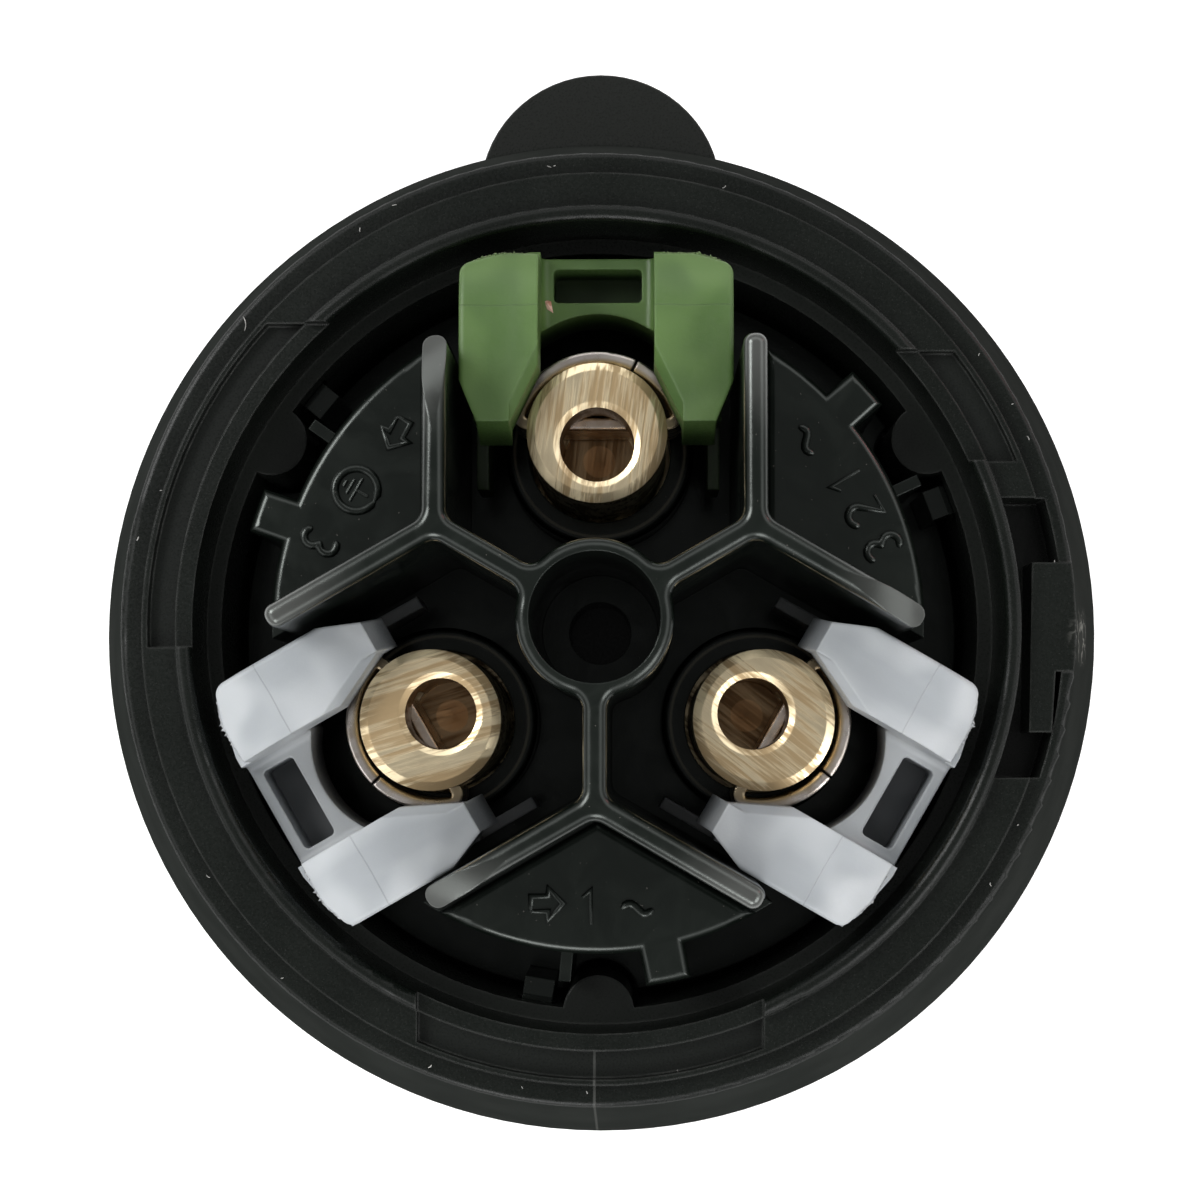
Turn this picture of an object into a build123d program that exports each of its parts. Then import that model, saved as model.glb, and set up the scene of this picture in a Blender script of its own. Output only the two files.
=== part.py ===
from build123d import *
import os
from math import cos, radians, sin

# Front half of a three-pole industrial plug, with its cable housing taken off.
# It stands on the front rim of its shroud: z = 0 is that rim and +Z points to the
# cable side. +Y points to the lid lug and the earth terminal, at twelve o'clock.
# The shell carries an insulating carrier with three terminal chambers. Each chamber
# holds one turned contact pin, a spring-steel clamp loop threaded through the pin's
# head, and a plastic slider that is pushed down to close the clamp on a conductor.
# Lengths are in millimetres.

# Shroud: the round sleeve that enters the socket, with its keying rib
shroud_radius = 22.0
shroud_wall = 2.5
shroud_length = 38.0
floor_thickness = 3.5
key_width = 6.5
key_height = 1.9
rim_round = 0.6

# Cup, flange and skirt: the ring that the cable housing locks onto
cup_radius = 23.4
cup_wall = 1.4
flange_height = 17.1
flange_radius = 27.75
skirt_wall = 1.6
channel_radius = 27.0
brim_radius = 30.5
brim_drop = 1.0
brim_band = 7.0
face_step_radius = 26.35
face_step = 0.7
band_height = 0.7
bead_width = 0.95
bead_height = 0.9
bead_round = 0.4
channel_depth = 12.5
channel_ribs = 12
rib_thickness = 1.2
edge_round = 0.4

# Ledge and nubs inside the cup, which seat and key the carrier
ledge_radius = 22.5
ledge_drop = 5.0
nub_radius = 2.1
nub_circle = 22.6
nub_clearance = 0.3
plate_angles_start = 30

# Bayonet: shallow pockets in the flange face
pocket_inner_radius = 24.4
pocket_radius = 26.0
pocket_depth = 0.8
left_pocket_top = 17.5
left_pocket_bottom = -1.3
right_pocket_top = 15.8
right_pocket_bottom = 9.4
front_pocket_left = -10.3
front_pocket_right = 9.5

# Latch: a springy tongue that stands in a slot of the flange, at three o'clock
slot_inner_radius = 24.3
slot_outer_radius = 26.9
slot_top = 7.3
slot_bottom = -8.8
slot_depth = 4.0
tongue_thickness = 1.3
tongue_inner_x = 25.1
tongue_lean = 0.25
tongue_top = 3.6
tongue_bottom = -6.2
tongue_root_bottom = -2.7
tongue_root_radius = 27.6
tongue_rise = 0.2

# Lid lug: the half-round tab at twelve o'clock
lug_radius = 7.6
lug_centre = 27.75
lug_thickness = 3.0
lug_lift = 1.6

# Contact pins and their eccentric terminal heads
pin_circle = 10.3
phase_pin_radius = 2.5
earth_pin_radius = 3.5
pin_recess = 6.0
root_step = 0.4
root_reach = 0.5
pin_hole_clearance = 0.08
tip_round_share = 0.55
collar_radius = 5.6
collar_height = 2.4
collar_gap = 0.3
head_radius = 4.05
head_offset = 0.7
head_height = 18.5
head_chamfer = 0.5
phase_bore_radius = 2.05
earth_bore_radius = 2.15
bore_depth = 9.5
bore_chamfer = 0.35
dimple_radius = 1.0
dimple_depth = 0.35
dimple_tip = 0.05

# Clamp loop: a steel strip bent to a D, whose flat side crosses the bore
strip = 0.75
strip_round = 0.18
loop_clearance = 0.5
loop_height = 5.0
loop_drop = 4.2
chord_offset = 0.6
bend_inside = 0.15
seam_gap = 0.16
loop_travel = 0.5
slot_clearance = 0.12

# Carrier: base, chamber walls, hub and the three marking plates
base_thickness = 4.0
base_gap = 0.35
wall_thickness = 1.35
chamber_half_width = 8.13
wall_height = 26.0
wall_length = 10.5
wall_fall_start = 13.6
wall_fall = 2.6
wall_fall_end = 19.4
wall_top_round = 0.6
wall_end_round = 0.6
fork_angle = 60
corner_round = 0.9
hub_radius = 4.35
hub_wall = 0.75
hub_depth = 20.5
hub_hole_radius = 1.9
boss_wall = 1.4
boss_height = 4.2
boss_round = 0.35
boss_gap = 0.3
plate_radius = 18.9
plate_height = 17.0
pad_height = 0.9
pad_round = 0.5
pad_gap = 0.3
plate_deck = 2.0
notch_clearance = 0.9
tab_radius = 20.9
tab_width = 2.6
tab_angle = 11.3
core_wall = 1.3
snap_angle = -9.5
snap_width = 1.8
snap_thickness = 1.1
snap_height = 7.0
snap_nose = 0.9
snap_nose_lead = 0.22
snap_nose_height = 1.4
snap_nose_drop = 0.8
snap_clearance = 0.25
gusset_angle = -5.4
gusset_radius = 20.8
gusset_thickness = 0.7
gusset_height = 10.0

# Slider: the fork that straddles the head and closes the clamp
slider_clearance = 0.35
gap_inset = 0.75
slider_envelope = 22.1
slider_outer = 21.75
arm_envelope = 21.85
arm_outer = 21.1
slider_inner = 10.5
arm_rise = 2.6
arm_height = 4.3
arm_flat_end = 17.9
arm_fall = 1.8
nose_clearance = 0.85
nose_inset = 0.35
arm_taper_start = 13.8
arm_taper = 1.0
arm_end_slope = 0.9
nose_bevel = 0.5
bridge_drop = 3.6
bridge_height = 5.5
arch_shift = 1.9
arch_clearance = 0.3
slot_length = 5.2
slot_width = 2.0
slot_outer_wall = 0.6
grip_depth = 3.5
root_inner = 17.3
leg_thickness = 0.7
leg_inset = 0.6
leg_inner = 8.3
leg_outer = 18.0
leg_length = 8.5
leg_top_inner = 11.9
foot_height = 5.5
foot_slope = 0.7
slider_round = 0.3
slider_corner = 0.8
bridge_round = 0.5
slot_round = 0.3
overlap = 0.3

# How closely an edge or face has to match a size to be picked by it
tolerance = 0.01

# Levels and places that follow from the dimensions above
floor_z = shroud_length
face_z = floor_z + flange_height
ledge_z = face_z - ledge_drop
pocket_z = face_z - pocket_depth
root_z = floor_z - floor_thickness - root_reach
base_z = floor_z + base_thickness
wall_z = floor_z + wall_height
plate_z = floor_z + plate_height
head_z = floor_z + head_height
bore_z = head_z - bore_depth
loop_z = head_z - loop_drop - loop_height
arm_z = head_z + arm_rise
arm_bottom = arm_z - arm_height
bridge_z = head_z - bridge_drop
leg_z = arm_bottom - leg_length
wall_line = chamber_half_width + wall_thickness / 2
junction = wall_line / sin(radians(fork_angle))
head_circle = pin_circle + head_offset
loop_radius = head_radius + loop_clearance + strip
loop_corner = strip + bend_inside
boss_bore = head_radius + boss_gap
slider_half = chamber_half_width - slider_clearance
slider_gap = 2 * (head_radius - gap_inset)
arm_nose_half = head_radius + nose_clearance
arm_nose_start = head_circle + head_radius - nose_inset
arch_centre = head_circle + arch_shift
arch_radius = loop_radius + arch_clearance
base_radius = ledge_radius - base_gap
snap_top = base_z + snap_height
nose_top = snap_top - snap_nose_drop
nose_bottom = nose_top - snap_nose_height

# The three terminals: name, direction, pin radius, bore radius, turn of the loop's seam,
# and how far outward and anticlockwise the slider sits in the slack of its chamber
terminals = [
    ("earth", 90, earth_pin_radius, earth_bore_radius, -26, -0.1, 0),
    ("line", 210, phase_pin_radius, phase_bore_radius, 15, 0.1, 0.2),
    ("neutral", 330, phase_pin_radius, phase_bore_radius, -9, 0.1, -0.2),
]
plate_angles = [plate_angles_start + 120 * turn for turn in range(3)]


def polar(radius, angle):
    """Point at a radius and an angle in degrees about the plug's axis."""
    return radius * cos(radians(angle)), radius * sin(radians(angle))


def along(edge, ray):
    """How far out on a ray the middle of an edge stands."""
    return ray.to_local_coords(edge @ 0.5).X


def across(edge, ray):
    """How far to the side of a ray the middle of an edge stands."""
    return abs(ray.to_local_coords(edge @ 0.5).Y)


os.makedirs("parts", exist_ok=True)

# Front shell: shroud, floor, cup, flange and flared skirt turned as one profile
with BuildPart() as front_shell:
    with BuildSketch(Plane.XZ):
        with BuildLine():
            Polyline(
                (0, floor_z),
                (0, floor_z - floor_thickness),
                (shroud_radius - shroud_wall, floor_z - floor_thickness),
                (shroud_radius - shroud_wall, 0),
                (shroud_radius, 0),
                (shroud_radius, floor_z - floor_thickness),
                (cup_radius + cup_wall, floor_z - floor_thickness),
                (cup_radius + cup_wall, floor_z + channel_depth),
                (channel_radius, floor_z + channel_depth),
                (brim_radius - skirt_wall, floor_z - brim_drop + brim_band),
                (brim_radius - skirt_wall, floor_z - brim_drop),
                (brim_radius, floor_z - brim_drop),
                (brim_radius, floor_z - brim_drop + brim_band),
                (flange_radius, face_z - face_step - band_height),
                (flange_radius, face_z - face_step),
                (face_step_radius, face_z - face_step),
                (face_step_radius, face_z),
                (cup_radius + bead_width, face_z),
                (cup_radius + bead_width, face_z + bead_height),
                (cup_radius, face_z + bead_height),
                (cup_radius, ledge_z),
                (ledge_radius, ledge_z),
                (ledge_radius, floor_z),
                close=True,
            )
        make_face()
    revolve(axis=Axis.Z)

    # The bead is round on top, and the rims and outer edges are broken
    bead_edges = front_shell.edges().filter_by(GeomType.CIRCLE).group_by(Axis.Z)[-1]
    fillet(bead_edges, bead_round)
    rim_edges = front_shell.edges().filter_by(GeomType.CIRCLE).group_by(Axis.Z)[0]
    fillet(rim_edges, rim_round)
    outer_edges = front_shell.edges().filter_by(GeomType.CIRCLE).filter_by(
        lambda e: e.radius > flange_radius - tolerance
    )
    fillet(outer_edges, edge_round)

    # Ribs across the flange's open channel, from the cup to the skirt
    for turn in range(channel_ribs):
        rib_angle = (turn + 0.5) * 360 / channel_ribs
        with BuildSketch(Plane.XZ.rotated((0, 0, rib_angle))):
            with BuildLine():
                Polyline(
                    (cup_radius + cup_wall / 2, floor_z),
                    (brim_radius - skirt_wall / 2, floor_z),
                    (brim_radius - skirt_wall / 2, floor_z - brim_drop + brim_band),
                    (channel_radius + skirt_wall / 2, floor_z + channel_depth),
                    (cup_radius + cup_wall / 2, floor_z + channel_depth),
                    close=True,
                )
            make_face()
        extrude(amount=rib_thickness / 2, both=True)

    # Half-round nubs that key the carrier
    with BuildSketch(Plane.XY.offset(floor_z)):
        with PolarLocations(nub_circle, 3, start_angle=plate_angles_start):
            Circle(nub_radius)
        Circle(cup_radius + cup_wall / 2, mode=Mode.INTERSECT)
    extrude(amount=ledge_z - floor_z)

    # Keying rib along the shroud, at six o'clock
    with BuildSketch(Plane.XY):
        with Locations((0, -shroud_radius)):
            RectangleRounded(key_width, 2 * key_height, rim_round)
        Circle(shroud_radius - shroud_wall / 2, mode=Mode.SUBTRACT)
    extrude(amount=floor_z - floor_thickness)

    # Lid lug
    with BuildSketch(Plane.XY.offset(floor_z + lug_lift)):
        with Locations((0, lug_centre)):
            Circle(lug_radius)
        Circle(brim_radius - skirt_wall, mode=Mode.SUBTRACT)
    extrude(amount=lug_thickness)

    # Bayonet pockets, square to the axes as the tool cuts them; the bead stops at them
    with BuildSketch(Plane.XY.offset(face_z)) as pocket_outline:
        with Locations((-brim_radius, left_pocket_bottom)):
            Rectangle(
                brim_radius,
                left_pocket_top - left_pocket_bottom,
                align=(Align.MIN, Align.MIN),
            )
        with Locations((0, right_pocket_bottom)):
            Rectangle(
                brim_radius,
                right_pocket_top - right_pocket_bottom,
                align=(Align.MIN, Align.MIN),
            )
        with Locations((front_pocket_left, -brim_radius)):
            Rectangle(
                front_pocket_right - front_pocket_left,
                brim_radius,
                align=(Align.MIN, Align.MIN),
            )
        Circle(pocket_radius, mode=Mode.INTERSECT)
        Circle(ledge_radius, mode=Mode.SUBTRACT)
    extrude(amount=bead_height, mode=Mode.SUBTRACT)
    with BuildSketch(Plane.XY.offset(pocket_z)):
        add(pocket_outline.sketch_local)
        Circle(pocket_inner_radius, mode=Mode.SUBTRACT)
    extrude(amount=pocket_depth, mode=Mode.SUBTRACT)

    # Slot for the latch, then the tongue that stands in it
    with BuildSketch(Plane.XY.offset(face_z - slot_depth)):
        with Locations((0, slot_bottom)):
            Rectangle(brim_radius, slot_top - slot_bottom, align=(Align.MIN, Align.MIN))
        Circle(slot_outer_radius, mode=Mode.INTERSECT)
        Circle(slot_inner_radius, mode=Mode.SUBTRACT)
    extrude(amount=slot_depth + bead_height, mode=Mode.SUBTRACT)
    with BuildSketch(Plane.XY.offset(face_z - slot_depth)):
        with BuildLine():
            Polyline(
                (tongue_inner_x - tongue_lean, tongue_bottom),
                (tongue_inner_x - tongue_lean + tongue_thickness, tongue_bottom),
                (tongue_inner_x + tongue_thickness, tongue_root_bottom),
                (flange_radius, tongue_root_bottom),
                (flange_radius, tongue_top),
                (tongue_inner_x, tongue_top),
                close=True,
            )
        make_face()
        Circle(tongue_root_radius, mode=Mode.INTERSECT)
    extrude(amount=slot_depth - face_step + tongue_rise)

    # Holes through the floor for the three pins
    for name, angle, pin_radius, bore_radius, seam, slack, drift in terminals:
        with Locations((*polar(pin_circle, angle), floor_z)):
            Hole(pin_radius + root_step + pin_hole_clearance, floor_thickness)

    # Recesses in the cup wall for the carrier's snap noses
    with BuildSketch(Plane.XY.offset(nose_bottom - snap_clearance)):
        with PolarLocations(ledge_radius, 3, start_angle=plate_angles_start + snap_angle):
            Rectangle(2 * (snap_nose - base_gap + snap_clearance), snap_width + 2 * snap_clearance)
    extrude(amount=snap_nose_height + 2 * snap_clearance, mode=Mode.SUBTRACT)

front_shell.part.label = "front_shell"
export_step(front_shell.part, "parts/front_shell.step")


def plate_sketch(apex, inset):
    """Outline of a marking plate on a ray along +X: a wedge with its apex at that
    radius, drawn in from the plate's curved sides by the inset."""
    reach = 2 * plate_radius
    with BuildSketch() as outline:
        Circle(plate_radius - inset)
        with BuildLine():
            Polyline(
                (apex, 0),
                (apex + reach * cos(radians(fork_angle)), reach * sin(radians(fork_angle))),
                (apex + reach * cos(radians(fork_angle)), -reach * sin(radians(fork_angle))),
                close=True,
            )
        make_face(mode=Mode.INTERSECT)
        with PolarLocations(tab_radius, 1, start_angle=tab_angle):
            Rectangle(4 * (tab_radius - plate_radius), tab_width - 2 * inset)
        Circle(tab_radius - inset, mode=Mode.INTERSECT)
        with Locations((nub_circle, 0)):
            Circle(nub_radius + notch_clearance + inset, mode=Mode.SUBTRACT)
    return outline.sketch


plate_outline = plate_sketch(junction, 0)
pad_apex = junction + (wall_thickness / 2 + pad_gap) / sin(radians(fork_angle))
pad_outline = plate_sketch(pad_apex, 0)
core_apex = junction + (wall_thickness / 2 + core_wall) / sin(radians(fork_angle))
core_outline = plate_sketch(core_apex, core_wall)

# Plan of the walls: three radial walls from the hub, each forking into two side walls
with BuildSketch() as wall_plan:
    Circle(hub_radius)
    with PolarLocations(0, 3, start_angle=plate_angles_start):
        Rectangle(junction, wall_thickness, align=(Align.MIN, Align.CENTER))
        with Locations((junction, 0)):
            for lean in (-fork_angle, fork_angle):
                Rectangle(
                    wall_length,
                    wall_thickness,
                    rotation=lean,
                    align=(Align.MIN, Align.CENTER),
                )
    inner_corners = wall_plan.vertices().filter_by(
        lambda v: (v.X**2 + v.Y**2) ** 0.5 < junction + wall_thickness
    )
    fillet(inner_corners, corner_round)
    wall_tips = wall_plan.vertices().filter_by(
        lambda v: (v.X**2 + v.Y**2) ** 0.5 > wall_fall_start
    )
    fillet(wall_tips, wall_end_round)

# One of the carrier's bosses, still solid, with its top edge rounded
with BuildPart() as boss:
    with BuildSketch(Plane.XY.offset(floor_z)):
        Circle(boss_bore + boss_wall)
    extrude(amount=base_thickness + boss_height)
    boss_rim = boss.edges().group_by(Axis.Z)[-1]
    fillet(boss_rim, boss_round)

# Carrier: one moulding that holds the three terminals apart
with BuildPart() as carrier:
    with BuildSketch(Plane.XY.offset(floor_z)):
        Circle(base_radius)
        with PolarLocations(nub_circle, 3, start_angle=plate_angles_start):
            Circle(nub_radius + nub_clearance, mode=Mode.SUBTRACT)
    extrude(amount=base_thickness)

    # Walls and hub, with softened tops
    with BuildSketch(Plane.XY.offset(floor_z)):
        add(wall_plan.sketch)
    extrude(amount=wall_height)
    wall_tops = carrier.faces().sort_by(Axis.Z)[-1].edges()
    fillet(wall_tops, wall_top_round)

    # The tops of the side walls fall away towards their tips
    with BuildSketch(Plane.XZ):
        with BuildLine():
            TangentArc((wall_fall_start, wall_z), (wall_fall_end, wall_z - wall_fall), tangent=(1, 0))
            Polyline(
                (wall_fall_end, wall_z - wall_fall),
                (wall_fall_end, wall_z),
                (wall_fall_start, wall_z),
            )
        make_face()
    revolve(axis=Axis.Z, mode=Mode.SUBTRACT)

    # Marking plates: each carries a raised pad with a softened edge, and is hollow below
    with BuildSketch(Plane.XY.offset(base_z)):
        with PolarLocations(0, 3, start_angle=plate_angles_start):
            add(plate_outline)
    extrude(amount=plate_z - pad_height - base_z)
    with BuildSketch(Plane.XY.offset(plate_z - pad_height)):
        with PolarLocations(0, 3, start_angle=plate_angles_start):
            add(pad_outline)
    extrude(amount=pad_height)
    pad_tops = [f for f in carrier.faces() if abs(f.center().Z - plate_z) < tolerance]
    pad_edges = [edge for top in pad_tops for edge in top.edges()]
    fillet(pad_edges, pad_round)
    with BuildSketch(Plane.XY.offset(floor_z)):
        with PolarLocations(0, 3, start_angle=plate_angles_start):
            add(core_outline)
    extrude(amount=plate_z - plate_deck - floor_z, mode=Mode.SUBTRACT)

    # Hub bore and the smaller hole that goes on through the base
    with Locations((0, 0, wall_z)):
        CounterBoreHole(hub_hole_radius, hub_radius - hub_wall, hub_depth, wall_height)

    # Bosses round the pin heads, their bores and the counterbores for the collars
    with PolarLocations(head_circle, 3, start_angle=90):
        add(boss.part)
    with BuildSketch(Plane.XY.offset(floor_z)):
        with PolarLocations(head_circle, 3, start_angle=90):
            Circle(boss_bore)
    extrude(amount=base_thickness + boss_height, mode=Mode.SUBTRACT)
    with BuildSketch(Plane.XY.offset(floor_z)):
        with PolarLocations(pin_circle, 3, start_angle=90):
            Circle(collar_radius + collar_gap)
    extrude(amount=collar_height + slot_clearance, mode=Mode.SUBTRACT)

    # Snap hooks at the rim of the base
    for angle in plate_angles:
        with BuildSketch(Plane.XZ.rotated((0, 0, angle + snap_angle))):
            with BuildLine():
                Polyline(
                    (base_radius - snap_thickness, base_z - slot_clearance),
                    (base_radius, base_z - slot_clearance),
                    (base_radius, nose_bottom),
                    (base_radius + snap_nose_lead, nose_bottom),
                    (base_radius + snap_nose, nose_top),
                    (base_radius, nose_top),
                    (base_radius, snap_top),
                    (base_radius - snap_thickness, snap_top),
                    close=True,
                )
            make_face()
        extrude(amount=snap_width / 2, both=True)

    # Gusset ribs on the plates' outer faces, one beside each nub
    for angle in plate_angles:
        with BuildSketch(Plane.XY.rotated((0, 0, angle + gusset_angle)).offset(base_z)):
            with Locations((plate_radius - core_wall / 2, 0)):
                Rectangle(
                    gusset_radius - plate_radius + core_wall / 2,
                    gusset_thickness,
                    align=(Align.MIN, Align.CENTER),
                )
        extrude(amount=gusset_height)

carrier.part.label = "carrier"
export_step(carrier.part, "parts/carrier.step")

# Contact pins: one turned piece each, pin, collar and eccentric drilled head
for name, angle, pin_radius, bore_radius, seam, slack, drift in terminals:
    ray = Plane.XY.rotated((0, 0, angle))
    with BuildPart() as contact_pin:
        with BuildSketch(ray.offset(pin_recess)):
            with Locations((pin_circle, 0)):
                Circle(pin_radius)
        extrude(amount=floor_z - pin_recess)
        tip_edges = contact_pin.edges().group_by(Axis.Z)[0]
        fillet(tip_edges, tip_round_share * pin_radius)
        with BuildSketch(ray.offset(root_z)):
            with Locations((pin_circle, 0)):
                Circle(pin_radius + root_step)
        extrude(amount=floor_z - root_z)
        with BuildSketch(ray.offset(floor_z)):
            with Locations((pin_circle, 0)):
                Circle(collar_radius)
        extrude(amount=collar_height)
        with BuildSketch(ray.offset(floor_z)):
            with Locations((head_circle, 0)):
                Circle(head_radius)
        extrude(amount=head_height)
        head_edges = contact_pin.edges().group_by(Axis.Z)[-1]
        chamfer(head_edges, head_chamfer)
        with BuildSketch(ray.offset(bore_z)):
            with Locations((pin_circle, 0)):
                Circle(bore_radius)
        extrude(amount=bore_depth, mode=Mode.SUBTRACT)
        mouth_edges = contact_pin.edges().filter_by(GeomType.CIRCLE).group_by(Axis.Z)[-1]
        mouth_edges = mouth_edges.filter_by(lambda e: abs(e.radius - bore_radius) < tolerance)
        chamfer(mouth_edges, bore_chamfer)
        with Locations(ray.offset(bore_z) * Location((pin_circle, 0, 0))):
            Cone(
                dimple_tip,
                dimple_radius,
                dimple_depth,
                align=(Align.CENTER, Align.CENTER, Align.MAX),
                mode=Mode.SUBTRACT,
            )

        # Slot across the head for the clamp loop's flat side
        with BuildSketch(ray.offset(loop_z - slot_clearance)):
            with Locations((head_circle + chord_offset - loop_travel - slot_clearance, 0)):
                Rectangle(
                    strip + loop_travel + 2 * slot_clearance,
                    3 * head_radius,
                    align=(Align.MIN, Align.CENTER),
                )
        extrude(amount=loop_height + 2 * slot_clearance, mode=Mode.SUBTRACT)

    contact_pin.part.label = f"{name}_pin"
    export_step(contact_pin.part, f"parts/{name}_pin.step")

# Clamp loops: a strip bent to a D, its ends meeting at a seam on the outward side
for name, angle, pin_radius, bore_radius, seam, slack, drift in terminals:
    ray = Plane.XY.rotated((0, 0, angle))
    with BuildPart() as clamp_loop:
        with BuildSketch(ray.offset(loop_z)):
            with Locations((head_circle, 0)):
                Circle(loop_radius)
            with Locations((head_circle + chord_offset, 0)):
                Rectangle(
                    2 * loop_radius,
                    2 * loop_radius,
                    align=(Align.MIN, Align.CENTER),
                    mode=Mode.INTERSECT,
                )
        extrude(amount=loop_height)
        bend_edges = clamp_loop.edges().filter_by(Axis.Z)
        fillet(bend_edges, loop_corner)
        offset(
            amount=-strip,
            openings=clamp_loop.faces().filter_by(Axis.Z),
            kind=Kind.INTERSECTION,
        )
        rim_edges = clamp_loop.edges().filter_by(Axis.Z, reverse=True)
        fillet(rim_edges, strip_round)
        with BuildSketch(ray.offset(loop_z)):
            with Locations((head_circle, 0)):
                Rectangle(
                    2 * loop_radius,
                    seam_gap,
                    rotation=seam,
                    align=(Align.MIN, Align.CENTER),
                )
                Circle(loop_radius / 2, mode=Mode.SUBTRACT)
        extrude(amount=loop_height, mode=Mode.SUBTRACT)

    clamp_loop.part.label = f"{name}_clamp_loop"
    export_step(clamp_loop.part, f"parts/{name}_clamp_loop.step")

# Sliders: a fork with two arms, a bridge with a grip slot, and two guide legs
for name, angle, pin_radius, bore_radius, seam, slack, drift in terminals:
    ray = Plane(Plane.XY.rotated((0, 0, angle)) * Pos(slack, drift, 0))
    side = Plane(Plane.XZ.rotated((0, 0, angle)) * Pos(slack, 0, -drift))
    with BuildPart() as slider:
        with BuildSketch(ray.offset(arm_bottom)):
            for hand in (-1, 1):
                with BuildLine():
                    Polyline(
                        (arm_outer, hand * slider_gap / 2),
                        (arm_nose_start, hand * slider_gap / 2),
                        (slider_inner + arm_end_slope, hand * arm_nose_half),
                        (slider_inner, hand * arm_nose_half),
                        (slider_inner, hand * (slider_half - arm_taper)),
                        (slider_inner + arm_end_slope, hand * (slider_half - arm_taper)),
                        (arm_taper_start, hand * slider_half),
                        (arm_outer, hand * slider_half),
                        close=True,
                    )
                make_face()
            Circle(arm_envelope, mode=Mode.INTERSECT)
        extrude(amount=arm_height)

        # The outer corners are round, and the edge beside the head is bevelled
        corner_edges = slider.edges().filter_by(Axis.Z).filter_by(
            lambda e: across(e, ray) > slider_half - tolerance and along(e, ray) > arm_flat_end
        )
        fillet(corner_edges, slider_corner)
        nose_edges = slider.edges().group_by(Axis.Z)[-1].filter_by(
            lambda e: slider_gap / 2 + tolerance < across(e, ray) < arm_nose_half - tolerance
            and along(e, ray) < arm_nose_start
        )
        chamfer(nose_edges, nose_bevel)

        # Arm tops fall away outward in a curve, and the inner ends lean
        with BuildSketch(side):
            with BuildLine():
                TangentArc((arm_flat_end, arm_z), (slider_outer, arm_z - arm_fall), tangent=(1, 0))
                Polyline(
                    (slider_outer, arm_z - arm_fall),
                    (slider_outer, arm_z),
                    (arm_flat_end, arm_z),
                )
            make_face()
            with BuildLine():
                Polyline(
                    (slider_inner, arm_z),
                    (slider_inner + arm_end_slope, arm_z),
                    (slider_inner, arm_bottom),
                    close=True,
                )
            make_face()
        extrude(amount=slider_half, both=True, mode=Mode.SUBTRACT)
        top_edges = slider.edges().group_by(Axis.Z)[-1].filter_by(
            lambda e: abs(across(e, ray) - slider_half) < tolerance
        )
        fillet(top_edges, slider_round)

        # Root block under the arms' outer ends, with the arch that clears the clamp loop
        with BuildSketch(ray.offset(bridge_z - bridge_height)):
            with Locations((root_inner, 0)):
                Rectangle(
                    slider_outer - root_inner,
                    2 * slider_half,
                    align=(Align.MIN, Align.CENTER),
                )
            with Locations((arch_centre, 0)):
                Circle(arch_radius, mode=Mode.SUBTRACT)
            Circle(slider_envelope, mode=Mode.INTERSECT)
        extrude(amount=arm_bottom + overlap - bridge_z + bridge_height)
        with BuildSketch(ray.offset(bridge_z)):
            with Locations((root_inner, 0)):
                Rectangle(
                    slider_envelope - root_inner,
                    slider_gap,
                    align=(Align.MIN, Align.CENTER),
                )
        extrude(amount=arm_z - bridge_z, mode=Mode.SUBTRACT)
        bridge_corners = slider.edges().filter_by(GeomType.LINE).filter_by(
            lambda e: abs((e @ 0.5).Z - bridge_z) < tolerance
            and abs(across(e, ray) - slider_gap / 2) < tolerance
        )
        fillet(bridge_corners, bridge_round)

        # Grip slot in the bridge
        with BuildSketch(ray.offset(bridge_z - grip_depth)):
            with Locations((slider_outer - slot_outer_wall - slot_width / 2, 0)):
                RectangleRounded(slot_width, slot_length, slot_round)
        extrude(amount=grip_depth, mode=Mode.SUBTRACT)

        # Guide legs along the chamber walls, each with a foot that reaches inward
        for hand in (-1, 1):
            with BuildSketch(side.offset(hand * (slider_half - leg_inset))):
                with BuildLine():
                    Polyline(
                        (leg_inner, leg_z),
                        (leg_outer, leg_z),
                        (leg_outer, arm_bottom + overlap),
                        (leg_top_inner, arm_bottom + overlap),
                        (leg_top_inner, leg_z + foot_height),
                        (leg_inner, leg_z + foot_height - foot_slope),
                        close=True,
                    )
                make_face()
            extrude(amount=-hand * leg_thickness)

    slider.part.label = f"{name}_slider"
    export_step(slider.part, f"parts/{name}_slider.step")
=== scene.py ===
import math
import random

import bmesh
import bpy
from mathutils import Matrix, Vector


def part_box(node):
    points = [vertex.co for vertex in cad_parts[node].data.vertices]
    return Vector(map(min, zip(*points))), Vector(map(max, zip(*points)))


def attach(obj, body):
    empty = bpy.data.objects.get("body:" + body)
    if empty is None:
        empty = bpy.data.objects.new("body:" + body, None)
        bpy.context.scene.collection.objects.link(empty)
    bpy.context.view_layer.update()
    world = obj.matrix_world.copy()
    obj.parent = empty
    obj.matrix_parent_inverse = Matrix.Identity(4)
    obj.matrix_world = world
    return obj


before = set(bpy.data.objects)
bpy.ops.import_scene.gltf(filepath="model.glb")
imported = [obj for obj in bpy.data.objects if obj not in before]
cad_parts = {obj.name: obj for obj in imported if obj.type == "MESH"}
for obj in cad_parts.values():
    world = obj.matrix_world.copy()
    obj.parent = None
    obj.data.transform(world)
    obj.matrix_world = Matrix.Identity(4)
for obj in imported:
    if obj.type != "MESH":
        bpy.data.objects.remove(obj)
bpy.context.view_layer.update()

# Looks of an industrial plug's front part, seen from its cable side. The imported solids
# stay as they are and get procedural materials, which also draw the stress marks and the
# parting line, and paint highlights, reflections and shade on some surfaces. This script
# adds only the raised marks, the ragged moulding flash, a copper-coloured chip and the lint.
# Blender's lengths are in metres, and MM turns a size in millimetres into them.
MM = 0.001
SEED = 7

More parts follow.
